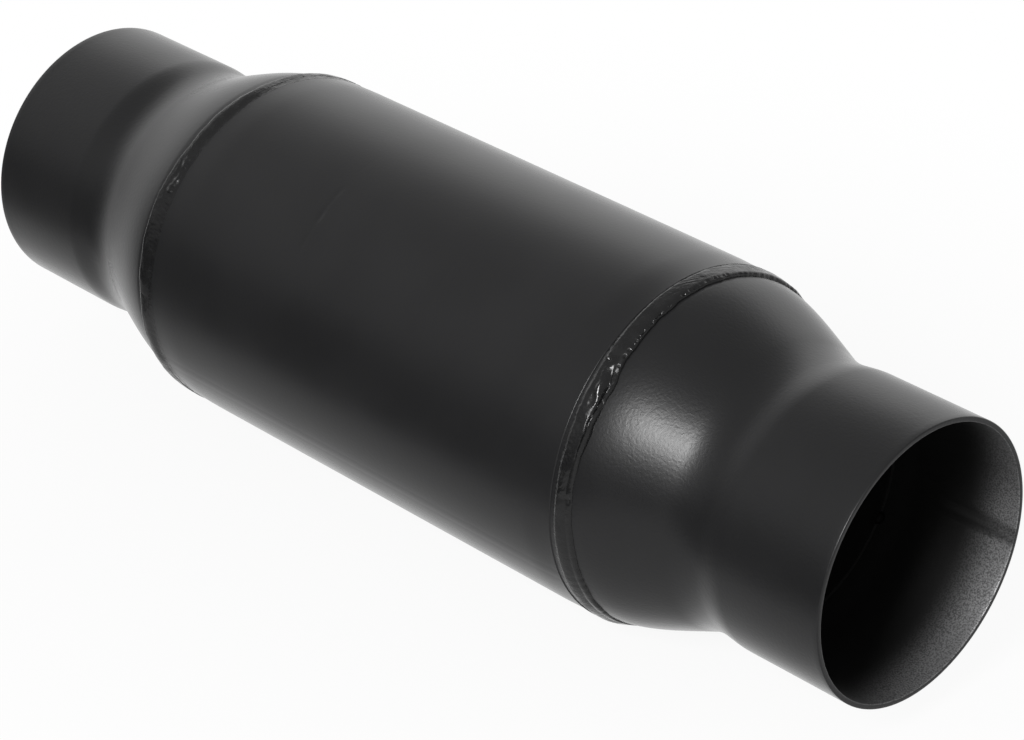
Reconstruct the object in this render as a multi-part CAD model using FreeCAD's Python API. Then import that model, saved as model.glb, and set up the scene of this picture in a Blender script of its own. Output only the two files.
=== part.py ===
import FreeCAD, Part
import math
import os

# Straight-through race muffler: a round case, an end cap welded into each end of it,
# and a slotted core wrapped in fibre packing.
# The axis is X, with the outlet at +X. The origin is the middle of the axis.
# Lengths are in millimetres and angles in degrees.

# Exhaust pipe that slips into each neck
PIPE_RADIUS = 38.1
PIPE_CLEARANCE = 0.2

# Case
CASE_RADIUS = 50.8
CASE_WALL = 1.5
CASE_LENGTH = 161.0

# End caps, each bent from one sheet, with sizes on its outer skin
CAP_WALL = 1.5
NECK_LENGTH = 36.4
DRAW_LENGTH = 5.8
THROAT_DRAW = 0.92
THROAT_BEND = 25.0
THROAT_CONES = 2
CONE_ENTRY_ANGLE = 22.5
CONE_LENGTH = 23.9
COLLAR_EXPOSED = 5.85
COLLAR_INSERTION = 9.6
COLLAR_CLEARANCE = 0.1

# Weld beads between case and caps
BEAD_CROWN = 0.45

# Core
CORE_WALL = 1.2
CORE_CLEARANCE = 0.2
CORE_PAST_THROAT = 1.8
SLOT_LENGTH = 20.0
SLOT_WIDTH = 4.0
SLOT_ROWS = 4
SLOT_PAIRS = 3
SLOT_ROW_GAP = 9.0

# Tack welds at the core's ends
TACK_RADIUS = 1.8
TACK_THICKNESS = 1.2
TACK_SIDES = 6
TACK_COUNT = 3

# Fibre packing
PACKING_CLEARANCE = 0.3

AXIS_POINT = FreeCAD.Vector(0, 0, 0)
AXIS = FreeCAD.Vector(1, 0, 0)

# Radii that follow from the driving dimensions
case_bore = CASE_RADIUS - CASE_WALL
neck_bore = PIPE_RADIUS + PIPE_CLEARANCE
neck_radius = neck_bore + CAP_WALL
throat_radius = neck_radius - THROAT_DRAW
collar_radius = case_bore - COLLAR_CLEARANCE
core_radius = throat_radius - CAP_WALL - CORE_CLEARANCE
core_bore = core_radius - CORE_WALL

# Distances from the rim of a neck to the throat, the cone's foot and the case, measured along the axis
throat_u = NECK_LENGTH + DRAW_LENGTH
cone_u = throat_u + THROAT_BEND * math.sin(math.radians(CONE_ENTRY_ANGLE))
case_u = cone_u + CONE_LENGTH + COLLAR_EXPOSED

# Places along the axis, from the middle of the part
case_end_x = CASE_LENGTH / 2
collar_end_x = case_end_x - COLLAR_INSERTION
rim_x = case_end_x + case_u
core_end_x = rim_x - throat_u + CORE_PAST_THROAT


def turned(corners):
    """Turn the half section with these corners, each an x and a radius, round the axis."""
    points = [FreeCAD.Vector(x, 0, radius) for x, radius in corners]
    section = Part.Face(Part.makePolygon(points + points[:1]))
    return section.revolve(AXIS_POINT, AXIS, 360)


def tube(half_length, bore, radius):
    """Plain tube centred on the origin."""
    corners = [(-half_length, bore), (-half_length, radius), (half_length, radius), (half_length, bore)]
    return turned(corners)


def mirrored(shape):
    """Mirror an outlet piece to the inlet end."""
    return shape.mirror(AXIS_POINT, AXIS)


def inner_skin(outer, wall):
    """Offset an outer skin inwards by the wall, square at its ends and mitred at its corners."""
    headings = [math.atan2(b[1] - a[1], b[0] - a[0]) for a, b in zip(outer, outer[1:])]
    before = headings[:1] + headings
    after = headings + headings[-1:]
    points = []
    for (u, r), first, second in zip(outer, before, after):
        heading = (first + second) / 2
        depth = wall / math.cos((second - first) / 2)
        points.append((u + depth * math.sin(heading), r - depth * math.cos(heading)))
    return points


def cap_skin():
    """Outer skin of an end cap as corners, each a distance from the rim and a radius.

    The concave bend of the throat is turned as a few cones that touch its arc.
    """
    bend = []
    for number in range(THROAT_CONES + 1):
        angle = math.radians(CONE_ENTRY_ANGLE * number / THROAT_CONES)
        bend.append((throat_u + THROAT_BEND * math.sin(angle), throat_radius + THROAT_BEND * (1 - math.cos(angle))))
    foot_u = cone_u + CONE_LENGTH
    collar = [(foot_u, collar_radius), (case_u + COLLAR_INSERTION, collar_radius)]
    return [(0.0, neck_radius), (NECK_LENGTH, neck_radius)] + bend + collar


def end_cap():
    """Outlet end cap: neck, drawn-in throat, flared cone and collar."""
    outer = cap_skin()
    corners = outer + inner_skin(outer, CAP_WALL)[::-1]
    return turned([(rim_x - u, r) for u, r in corners])


def weld_bead():
    """Outlet fillet bead, crowned, from the case's outer corner to the foot of the cap's cone."""
    length = COLLAR_EXPOSED
    drop = CASE_RADIUS - collar_radius
    chord = math.hypot(length, drop)
    crown_x = case_end_x + length / 2 + BEAD_CROWN * drop / chord
    crown_r = CASE_RADIUS - drop / 2 + BEAD_CROWN * length / chord
    return turned(
        [
            (case_end_x, CASE_RADIUS),
            (crown_x, crown_r),
            (case_end_x + length, collar_radius),
            (case_end_x, collar_radius),
        ]
    )


def core_slots():
    """Cutters for the core's slots, each making two opposite ones, with every other row staggered."""
    row_step = SLOT_LENGTH + SLOT_ROW_GAP
    angle_step = 180 / SLOT_PAIRS
    cutters = []
    for row in range(SLOT_ROWS):
        x = (row - (SLOT_ROWS - 1) / 2) * row_step
        stagger = angle_step / 2 * (row % 2)
        corner = FreeCAD.Vector(x - SLOT_LENGTH / 2, -SLOT_WIDTH / 2, -CASE_RADIUS)
        for pair in range(SLOT_PAIRS):
            cutter = Part.makeBox(SLOT_LENGTH, SLOT_WIDTH, 2 * CASE_RADIUS, corner)
            cutters.append(cutter.rotate(AXIS_POINT, AXIS, pair * angle_step + stagger))
    return Part.makeCompound(cutters)


def slotted_core():
    """Straight tube from throat to throat, slotted where the packing lies."""
    return tube(core_end_x, core_bore, core_radius).cut(core_slots()).Solids[0]


def core_tacks(cap):
    """Tack welds on the outlet end of the core, each reaching the cap's throat."""
    edge_points = []
    for side in range(TACK_SIDES + 1):
        angle = math.radians(side * 360 / TACK_SIDES)
        y = TACK_RADIUS * math.sin(angle)
        z = core_radius + TACK_RADIUS * math.cos(angle)
        edge_points.append(FreeCAD.Vector(core_end_x, y, z))
    button = Part.Face(Part.makePolygon(edge_points)).extrude(AXIS * TACK_THICKNESS)
    tack = button.cut(cap).Solids[0]
    angles = [number * 360 / TACK_COUNT for number in range(TACK_COUNT)]
    return Part.makeCompound([tack.copy().rotate(AXIS_POINT, AXIS, angle) for angle in angles])


def fibre_packing():
    """Roll of fibre between the core and the case, from collar to collar."""
    return tube(
        collar_end_x - PACKING_CLEARANCE,
        core_radius + PACKING_CLEARANCE,
        case_bore - PACKING_CLEARANCE,
    )


def export(node, shape):
    """Write one node and print what it holds."""
    shape.exportStep("parts/" + node + ".step")
    print(node, "solids", len(shape.Solids), "valid", shape.isValid(), "volume", round(shape.Volume, 1))


def main():
    """Build every piece and write it."""
    os.makedirs("parts", exist_ok=True)
    cap = end_cap()
    outlet_pieces = {"end_cap": cap, "weld_bead": weld_bead(), "core_tacks": core_tacks(cap)}
    export("case_shell", tube(case_end_x, case_bore, CASE_RADIUS))
    export("slotted_core", slotted_core())
    export("fibre_packing", fibre_packing())
    for name, shape in outlet_pieces.items():
        export("outlet_" + name, shape)
        export("inlet_" + name, mirrored(shape))
    print("overall length", round(2 * rim_x, 2), "core end", round(core_end_x, 2))


main()
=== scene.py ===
"""A straight-through race muffler in satin black high-temperature coating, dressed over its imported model.

Sizes in the classes are millimetres and degrees; meshes are metres. The axis is X, with the outlet at +X.
An angle round the axis is measured from +Z towards +Y. An ease is a pair: where it starts, and where it is
full.
"""

import logging
import math
from dataclasses import dataclass
from enum import Enum
from typing import Any

import bmesh
import bpy
import numpy as np
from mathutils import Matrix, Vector, noise


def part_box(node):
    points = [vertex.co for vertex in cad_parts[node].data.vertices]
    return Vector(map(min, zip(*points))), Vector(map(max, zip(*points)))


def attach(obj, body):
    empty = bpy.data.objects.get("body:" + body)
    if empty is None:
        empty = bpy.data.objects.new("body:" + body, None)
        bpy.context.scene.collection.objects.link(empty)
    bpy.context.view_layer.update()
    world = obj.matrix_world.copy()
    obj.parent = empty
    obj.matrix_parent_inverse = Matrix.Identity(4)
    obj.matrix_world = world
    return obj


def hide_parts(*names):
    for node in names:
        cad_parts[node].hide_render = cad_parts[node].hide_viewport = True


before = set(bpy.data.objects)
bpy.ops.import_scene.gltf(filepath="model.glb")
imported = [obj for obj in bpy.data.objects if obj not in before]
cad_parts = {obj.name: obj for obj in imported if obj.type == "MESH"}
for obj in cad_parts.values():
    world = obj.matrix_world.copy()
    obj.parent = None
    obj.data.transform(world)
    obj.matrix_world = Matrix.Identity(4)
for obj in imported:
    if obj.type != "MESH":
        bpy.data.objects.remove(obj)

MM = 0.001
BODY = "root"
LOG = logging.getLogger("muffler")
WHITE = "#ffffff"
BAKED_ENAMEL_IOR = 1.5
GLASS_IOR = 1.5
WHOLE_TURN = 360.0
MERGE_DISTANCE = 0.002
JOIN_DISTANCE = 0.02
SOFT_EDGE_ANGLE = 60.0
PLACE_DIGITS = 5
TINY = 1e-6
# Most values of a noise pattern lie between these two, round the middle.
NOISE_SPREAD = (0.35, 0.65)
NOISE_MIDDLE = 0.5
NOISE_SLICE = 0.5


class End(Enum):
    """The two ends of the part, by their side of the middle."""

    INLET = -1
    OUTLET = 1

    @property
    def label(self) -> str:
        """The end's name as the nodes spell it."""
        return self.name.lower()

    @property
    def rim_x(self) -> float:
        """Distance in millimetres from the middle of the part to the rim of this end's neck."""
        low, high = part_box(f"{self.label}_end_cap")
        return max(abs(low.x), abs(high.x)) / MM


class Kind(Enum):
    """A kind of node: its type, its inputs in the order that they are given, its output and its settings."""

    PLACE = "ShaderNodeTexCoord", (), "Object"
    HEADING = "ShaderNodeTexCoord", (), "Generated"
    SPLIT = "ShaderNodeSeparateXYZ", (0,)
    JOIN = "ShaderNodeCombineXYZ", (0, 1, 2)
    MAPPED = "ShaderNodeMapping", ("Vector",)
    ADD = "ShaderNodeMath", (0, 1), 0, {"operation": "ADD"}
    SUBTRACT = "ShaderNodeMath", (0, 1), 0, {"operation": "SUBTRACT"}
    MULTIPLY = "ShaderNodeMath", (0, 1), 0, {"operation": "MULTIPLY"}
    DIVIDE = "ShaderNodeMath", (0, 1), 0, {"operation": "DIVIDE"}
    POWER = "ShaderNodeMath", (0, 1), 0, {"operation": "POWER"}
    MODULO = "ShaderNodeMath", (0, 1), 0, {"operation": "MODULO"}
    MINIMUM = "ShaderNodeMath", (0, 1), 0, {"operation": "MINIMUM"}
    MAXIMUM = "ShaderNodeMath", (0, 1), 0, {"operation": "MAXIMUM"}
    ABSOLUTE = "ShaderNodeMath", (0,), 0, {"operation": "ABSOLUTE"}
    FLOOR = "ShaderNodeMath", (0,), 0, {"operation": "FLOOR"}
    SINE = "ShaderNodeMath", (0,), 0, {"operation": "SINE"}
    COSINE = "ShaderNodeMath", (0,), 0, {"operation": "COSINE"}
    ARCTAN2 = "ShaderNodeMath", (0, 1), 0, {"operation": "ARCTAN2"}
    DEGREES = "ShaderNodeMath", (0,), 0, {"operation": "DEGREES"}
    DOT = "ShaderNodeVectorMath", (0, 1), "Value", {"operation": "DOT_PRODUCT"}
    LENGTH = "ShaderNodeVectorMath", (0,), "Value", {"operation": "LENGTH"}
    STRETCHED = "ShaderNodeVectorMath", (0, 1), 0, {"operation": "MULTIPLY"}
    SCALED = "ShaderNodeVectorMath", (0, "Scale"), 0, {"operation": "SCALE"}
    RANGE = "ShaderNodeMapRange", (0, 1, 2, 3, 4), 0, {"interpolation_type": "SMOOTHSTEP"}
    NOISE = "ShaderNodeTexNoise", ("Vector", "Scale")
    SEEDED_NOISE = "ShaderNodeTexNoise", ("Vector", "Scale", "W"), 0, {"noise_dimensions": "4D"}
    MIX = "ShaderNodeMix", (0, 6, 7), 2, {"data_type": "RGBA"}
    BUMP = "ShaderNodeBump", ("Height", "Distance", "Normal")
    FACING = "ShaderNodeLayerWeight", (), "Facing"
    RAYS = "ShaderNodeLightPath", ()
    PRINCIPLED = "ShaderNodeBsdfPrincipled", ()
    DIFFUSE = "ShaderNodeBsdfDiffuse", ("Color",)
    CLEAR = "ShaderNodeBsdfTransparent", ()
    GLOW = "ShaderNodeEmission", ("Color", "Strength")
    BLEND = "ShaderNodeMixShader", (0, 1, 2)
    SURFACE = "ShaderNodeOutputMaterial", ("Surface",)
    SKY = "ShaderNodeBackground", ("Color", "Strength")
    WORLD = "ShaderNodeOutputWorld", ("Surface",)
    GIVEN = "NodeGroupInput", ()
    RESULT = "NodeGroupOutput", (0,)
    ATTRIBUTE = "GeometryNodeInputNamedAttribute", ("Name",)
    POSITION = "GeometryNodeInputPosition", ()
    NORMAL = "GeometryNodeInputNormal", ()
    INDEX = "GeometryNodeInputIndex", ()
    POINTS = "GeometryNodePoints", ("Count",)
    COPIES = "GeometryNodeInstanceOnPoints", ("Points", "Instance")
    MOVED = "GeometryNodeSetPosition", ("Geometry",)
    MERGED = "GeometryNodeMergeByDistance", ("Geometry", "Distance")
    REAL = "GeometryNodeRealizeInstances", (0,)
    DRESSED = "GeometryNodeSetMaterial", ("Geometry", "Material")

    def __init__(
        self,
        type_name: str,
        places: tuple[str | int, ...],
        taken: str | int = 0,
        settings: dict[str, Any] | None = None,
    ) -> None:
        """Hold what the kind's line says.

        Args:
            type_name: The type, as Blender names it.
            places: Names or places of the inputs that get values in order.
            taken: Name or place of the output.
            settings: Properties that every node of this kind gets.
        """
        self.type_name = type_name
        self.places = places
        self.taken = taken
        self.settings = settings or {}


class Net:
    """A node tree, with one method that adds a node with its settings and links."""

    def __init__(self, tree: bpy.types.NodeTree) -> None:
        """Hold the tree, emptied.

        Args:
            tree: The tree to fill.
        """
        self.tree = tree
        tree.nodes.clear()

    def add(self, kind: Kind, *values: Any, **named: Any) -> "Value":
        """Add a node with its settings and links.

        Args:
            kind: The kind of node.
            values: What the kind's inputs get in order: a value to link, or a number, a colour or a name.
            named: What other inputs get, by their names with underscores for spaces.

        Returns:
            The node's output.
        """
        node = self.tree.nodes.new(kind.type_name)
        for name, setting in kind.settings.items():
            setattr(node, name, setting)
        spelled = {name.replace("_", " "): value for name, value in named.items()}
        for place, value in (dict(zip(kind.places, values)) | spelled).items():
            if isinstance(value, Value):
                self.tree.links.new(value.node.outputs[value.taken], node.inputs[place])
            else:
                node.inputs[place].default_value = value
        return Value(self, node, kind.taken)


class Value:
    """An output of a node, which takes sums as a plain number does."""

    def __init__(self, net: Net, node: bpy.types.Node, taken: str | int) -> None:
        """Hold the output.

        Args:
            net: The net that the node is in.
            node: The node.
            taken: Name or place of its output.
        """
        self.net = net
        self.node = node
        self.taken = taken

    def __getitem__(self, taken: str) -> "Value":
        """Another output of the same node, by name."""
        return Value(self.net, self.node, taken)

    def into(self, kind: Kind, *others: Any) -> "Value":
        """Feed this value, and then the others, into a new node."""
        return self.net.add(kind, self, *others)

    def __add__(self, other: Any) -> "Value":
        """This and the other."""
        return self.into(Kind.ADD, other)

    def __sub__(self, other: Any) -> "Value":
        """This less the other."""
        return self.into(Kind.SUBTRACT, other)

    def __rsub__(self, other: float) -> "Value":
        """The number less this."""
        return self.net.add(Kind.SUBTRACT, other, self)

    def __mul__(self, other: Any) -> "Value":
        """This times the other."""
        return self.into(Kind.MULTIPLY, other)

    def __truediv__(self, other: Any) -> "Value":
        """This divided by the other."""
        return self.into(Kind.DIVIDE, other)

    def __rtruediv__(self, other: float) -> "Value":
        """The number divided by this."""
        return self.net.add(Kind.DIVIDE, other, self)


class FinishNet(Net):
    """The node tree of one material."""

    def __init__(self, name: str) -> None:
        """Start a material.

        Args:
            name: The material's name.
        """
        self.material = bpy.data.materials.new(name)
        self.material.use_nodes = True
        super().__init__(self.material.node_tree)
        self.place = self.add(Kind.PLACE)

    def close(self, **surface: Any) -> bpy.types.Material:
        """End in the principled shader with these inputs, and give the material."""
        self.add(Kind.SURFACE, self.add(Kind.PRINCIPLED, **surface))
        return self.material


def linear(code: str) -> tuple[float, float, float, float]:
    """Turn an sRGB hex colour into linear light.

    Args:
        code: Colour such as "#1d1d1e".

    Returns:
        Red, green, blue and an alpha of 1.
    """
    parts = [int(code[start : start + 2], 16) / 255 for start in (1, 3, 5)]
    light = [part / 12.92 if part <= 0.04045 else ((part + 0.055) / 1.055) ** 2.4 for part in parts]
    return light[0], light[1], light[2], 1.0


def pattern_scale(size: float) -> float:
    """Scale of a pattern on coordinates in metres, for grains of this size in millimetres."""
    return 1.0 / (size * MM)


def smooth_step(values: np.ndarray, start: float, stop: float) -> np.ndarray:
    """Ease from 0 at start to 1 at stop, for each value."""
    share = np.clip((values - start) / (stop - start), 0.0, 1.0)
    return share * share * (3.0 - 2.0 * share)


def steps(*stretches: tuple[float, float, int]) -> np.ndarray:
    """Places along a line, with a count of steps for each stretch, sorted and each once."""
    places = np.concatenate([np.linspace(start, stop, count + 1) for start, stop, count in stretches])
    return np.unique(np.round(places, PLACE_DIGITS))


def half_size(node: str) -> tuple[float, float]:
    """Half the length and the radius of a turned node, in millimetres."""
    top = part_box(node)[1]
    return top.x / MM, top.z / MM


def even_turn(count: int) -> np.ndarray:
    """Angles of one turn in this count of even steps, from straight below."""
    return np.arange(count) * WHOLE_TURN / count - WHOLE_TURN / 2


def quarter_turn(count: int) -> np.ndarray:
    """Angles of a round edge in radians, with this count of steps and without the last angle."""
    return np.radians(np.linspace(0.0, 90.0, count + 1)[:-1])


@dataclass(frozen=True)
class Hump:
    """A smooth hump, or a groove where its height is below zero."""

    centre: float
    width: float
    height: float = 1.0

    def over(self, values: np.ndarray) -> np.ndarray:
        """The hump's height at each value."""
        return self.height * np.exp(-(((values - self.centre) / self.width) ** 2))


@dataclass(frozen=True)
class Window:
    """Full between two places, with an ease in before it and an ease out after it."""

    rise: tuple[float, float]
    fall: tuple[float, float]

    def over(self, values: np.ndarray) -> np.ndarray:
        """How full it is at each value, from 0 to 1."""
        return smooth_step(values, *self.rise) * (1.0 - smooth_step(values, *self.fall))


@dataclass(frozen=True)
class Wander:
    """Smooth uneven wandering along a path, between about its height each way."""

    height: float
    pitch: float
    seed: float

    def along(self, path: np.ndarray, shift: float = 0.0) -> np.ndarray:
        """Work out the wander.

        Args:
            path: Distances along the path.
            shift: What is added to the seed.

        Returns:
            The wander at each distance.
        """
        seed = self.seed + shift
        spots = [Vector((x / self.pitch, seed, NOISE_SLICE)) for x in path]
        return 2.0 * self.height * np.array([noise.noise(spot) for spot in spots])


@dataclass(frozen=True)
class Seam:
    """A lengthwise butt weld of a rolled sheet: a low bead with a faint groove along each side."""

    angle: float
    width: float
    height: float
    groove: Hump
    reach: float
    spacing: float

    def angles(self, count: int) -> np.ndarray:
        """Angles for one turn, closer together near the seam.

        Args:
            count: Even steps in the whole turn.

        Returns:
            Rising angles in degrees.
        """
        even = even_turn(count)
        even = even[np.abs(even - self.angle) > self.reach + self.spacing]
        close = np.arange(self.angle - self.reach, self.angle + self.reach + self.spacing / 2, self.spacing)
        return np.sort(np.concatenate([even, close]))

    def distance(self, angles: np.ndarray, radius: float) -> np.ndarray:
        """Distance round the tube from the seam, at each angle."""
        return np.radians(angles - self.angle) * radius

    def relief(self, off_seam: np.ndarray) -> tuple[np.ndarray, np.ndarray]:
        """Height of the bead and of its grooves, at each distance from the seam."""
        return Hump(0.0, self.width / 2, self.height).over(off_seam), self.groove.over(np.abs(off_seam))


def written(work: bmesh.types.BMesh, mesh: bpy.types.Mesh) -> bpy.types.Mesh:
    """Write a work mesh into a mesh and free it."""
    work.to_mesh(mesh)
    work.free()
    return mesh


def face_outwards(mesh: bpy.types.Mesh, sharp_from: float = 38.0) -> bpy.types.Mesh:
    """Merge doubles, turn all faces outwards and shade smooth.

    Args:
        mesh: Mesh to finish.
        sharp_from: Angle between faces past which an edge stays sharp.

    Returns:
        The same mesh.
    """
    work = bmesh.new()
    work.from_mesh(mesh)
    bmesh.ops.remove_doubles(work, verts=work.verts, dist=MERGE_DISTANCE * MM)
    bmesh.ops.recalc_face_normals(work, faces=work.faces)
    written(work, mesh).shade_smooth()
    mesh.set_sharp_from_angle(angle=math.radians(sharp_from))
    return mesh


def turned_mesh(name: str, along: np.ndarray, radius: np.ndarray, angles: np.ndarray) -> bpy.types.Mesh:
    """Make the closed skin of a turned piece.

    Args:
        name: The mesh's name.
        along: Place on the axis for each point of the closed section (rows) at each angle (columns).
        radius: Radius of the same points.
        angles: Angle of each column.

    Returns:
        A mesh with faces outwards and shading smooth over all but sharp corners.
    """
    turn = np.radians(angles)
    points = np.stack([along, radius * np.sin(turn), radius * np.cos(turn)], axis=-1).reshape(-1, 3) * MM
    index = np.arange(along.size).reshape(along.shape)
    after = np.roll(index, -1, axis=0)
    quads = np.stack([index, after, np.roll(after, -1, axis=1), np.roll(index, -1, axis=1)], axis=-1)
    mesh = bpy.data.meshes.new(name)
    mesh.from_pydata(points.tolist(), [], quads.reshape(-1, 4).tolist())
    return face_outwards(mesh)


def held_within(mesh: bpy.types.Mesh, reach: float) -> None:
    """Press whatever stands past a distance from the axis, sideways or up, back to it.

    Args:
        mesh: Mesh to hold.
        reach: The distance in millimetres.
    """
    points = np.empty(len(mesh.vertices) * 3)
    mesh.vertices.foreach_get("co", points)
    points = points.reshape(-1, 3)
    points[:, 1:] = np.clip(points[:, 1:], -reach * MM, reach * MM)
    mesh.vertices.foreach_set("co", points.ravel())
    mesh.update()


def show(mesh: bpy.types.Mesh, *materials: bpy.types.Material) -> bpy.types.Object:
    """Put a mesh in the scene as an object at the origin with these materials."""
    piece = bpy.data.objects.new(mesh.name, mesh)
    bpy.context.scene.collection.objects.link(piece)
    for material in materials:
        mesh.materials.append(material)
    return piece


def hand_over(piece: bpy.types.Object, node: str) -> bpy.types.Object:
    """Let a piece stand for a node, and report it."""
    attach(piece, BODY)
    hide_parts(node)
    LOG.info("%s stands for %s with %d faces", piece.name, node, len(piece.data.polygons))
    return piece


@dataclass(frozen=True)
class SatinCoating:
    """Ceramic-filled silicone enamel, sprayed on sheet steel and baked.

    It is a deep neutral black with a soft satin sheen. Its orange peel breaks highlights into fine
    wrinkles, and at a glancing view it turns as pale as what it reflects.
    """

    name: str = "silicone_enamel_sprayed_satin"
    colour: str = "#1b1b1c"
    cloud_colour: str = "#1d1d1e"
    cloud_size: float = 28.0
    roughness: tuple[float, float] = (0.325, 0.345)
    grazing_ease: tuple[float, float] = (0.6, 1.0)
    grazing_roughness: float = 0.2
    peel_size: float = 0.95
    peel_depth: float = 0.034
    peel_twist: float = 0.5
    speck_size: float = 0.35
    speck_depth: float = 0.001

    def material(self) -> bpy.types.Material:
        """Build the finish."""
        net = FinishNet(self.name)
        clouds = net.add(Kind.NOISE, net.place, pattern_scale(self.cloud_size), Detail=3.0)
        cloud = net.add(Kind.RANGE, clouds, *NOISE_SPREAD)
        peel = net.add(
            Kind.NOISE, net.place, pattern_scale(self.peel_size), Detail=1.0, Distortion=self.peel_twist
        )
        specks = net.add(Kind.NOISE, net.place, pattern_scale(self.speck_size), Detail=0.0)
        peeled = net.add(Kind.BUMP, peel, self.peel_depth * MM)
        rough = net.add(Kind.RANGE, cloud, 0.0, 1.0, *self.roughness)
        grazing = net.add(Kind.RANGE, net.add(Kind.FACING), *self.grazing_ease)
        return net.close(
            Base_Color=net.add(Kind.MIX, cloud, linear(self.colour), linear(self.cloud_colour)),
            Roughness=rough - grazing * (self.roughness[0] - self.grazing_roughness),
            IOR=BAKED_ENAMEL_IOR,
            Normal=net.add(Kind.BUMP, specks, self.speck_depth * MM, peeled),
        )


@dataclass(frozen=True)
class DryOverspray:
    """The bore of a neck, where the spray only drifts in and leaves blasted steel bare near the rim.

    It is black inside, and near the rim a fine grey grain that lights up in a hard light. That grey steel
    is partly painted light: it fades inward with depth and is kept to the stretch of bore just past the
    seam, where the key light falls in, with painted shade on each side. A narrow dark band along the
    neck's own seam is painted shade from its weld bead. Angles are measured from the seam.
    """

    name: str = "blasted_steel_drifted_enamel_painted_light"
    colour: str = "#161616"
    steel_colour: str = "#afafb0"
    roughness: float = 0.52
    grit_size: float = 0.45
    grit_depth: float = 0.03
    grit_ease: tuple[float, float] = (0.32, 0.66)
    grit_share: float = 0.25
    # Bare steel near the rim, and painted light: its fade inward stands in for how far the key light reaches
    # into the bore.
    bare_and_lit_depth: float = 19.0
    bare_and_lit_power: float = 1.7
    seam_angle: float = 103.0
    # Painted shade: a narrow dark band along the neck's seam, where its weld bead's flank turns away from the
    # key light.
    seam_shade_ease: tuple[float, float] = (1.5, 6.5)
    seam_shade_share: float = 0.2
    # Painted shade: the grey steel is kept to the stretch just past the seam where the key light falls, and
    # dimmed on each side.
    painted_shade_before: tuple[float, float] = (-28.0, 0.0)
    painted_shade_past: tuple[float, float] = (35.0, 110.0)
    painted_shade_share: float = 0.35

    def material(self) -> bpy.types.Material:
        """Build the finish."""
        net = FinishNet(self.name)
        grit = net.add(Kind.NOISE, net.place, pattern_scale(self.grit_size), Detail=1.0)
        from_middle = net.add(Kind.SPLIT, net.place)["X"].into(Kind.ABSOLUTE)
        rim = End.OUTLET.rim_x
        # Bare steel near the rim fading inward: partly real, partly a painted falloff of the key light.
        bare = net.add(Kind.RANGE, from_middle, (rim - self.bare_and_lit_depth) * MM, (rim + 1.0) * MM)
        spin = (math.radians(self.seam_angle), 0.0, 0.0)
        spot = net.add(Kind.SPLIT, net.add(Kind.MAPPED, net.place, Rotation=spin))
        angle = spot["Y"].into(Kind.ARCTAN2, spot["Z"]).into(Kind.DEGREES)
        # Painted shade along the seam's weld bead: the grey steel is dimmed there.
        off_seam = net.add(Kind.RANGE, angle.into(Kind.ABSOLUTE), *self.seam_shade_ease, self.seam_shade_share, 1.0)
        # Painted shade on each side of the lit stretch of the bore.
        before = net.add(Kind.RANGE, angle, *self.painted_shade_before, self.painted_shade_share, 1.0)
        past = net.add(Kind.RANGE, angle, *self.painted_shade_past, 1.0, self.painted_shade_share)
        grains = net.add(Kind.RANGE, grit, *self.grit_ease, self.grit_share, 1.0)
        # Grey bare steel where the bore is lit: partly real bare steel, partly a painted pool of key light.
        bare_steel_and_painted_light = bare.into(Kind.POWER, self.bare_and_lit_power) * off_seam * before * past * grains
        return net.close(
            Base_Color=net.add(Kind.MIX, bare_steel_and_painted_light, linear(self.colour), linear(self.steel_colour)),
            Metallic=bare_steel_and_painted_light,
            Roughness=self.roughness,
            IOR=BAKED_ENAMEL_IOR,
            Normal=net.add(Kind.BUMP, grit, self.grit_depth * MM),
        )


@dataclass(frozen=True)
class CoatedWeld:
    """Enamel that pooled over an arc-welded bead.

    It is thicker and glossier than on the sheet, so that the bead's lumps glint while its toes stay black.
    """

    name: str = "silicone_enamel_over_arc_weld"
    colour: str = "#151515"
    thin_colour: str = "#1d1d1e"
    roughness: tuple[float, float] = (0.15, 0.34)
    pool_size: float = 3.5
    pit_size: float = 0.6
    pit_depth: float = 0.06

    def material(self) -> bpy.types.Material:
        """Build the finish."""
        net = FinishNet(self.name)
        pool = net.add(Kind.NOISE, net.place, pattern_scale(self.pool_size), Detail=2.0)
        pits = net.add(Kind.NOISE, net.place, pattern_scale(self.pit_size), Detail=2.0)
        return net.close(
            Base_Color=net.add(Kind.MIX, pits, linear(self.colour), linear(self.thin_colour)),
            Roughness=net.add(Kind.RANGE, pool, *NOISE_SPREAD, *self.roughness),
            IOR=BAKED_ENAMEL_IOR,
            Normal=net.add(Kind.BUMP, pits, self.pit_depth * MM),
        )


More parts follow.
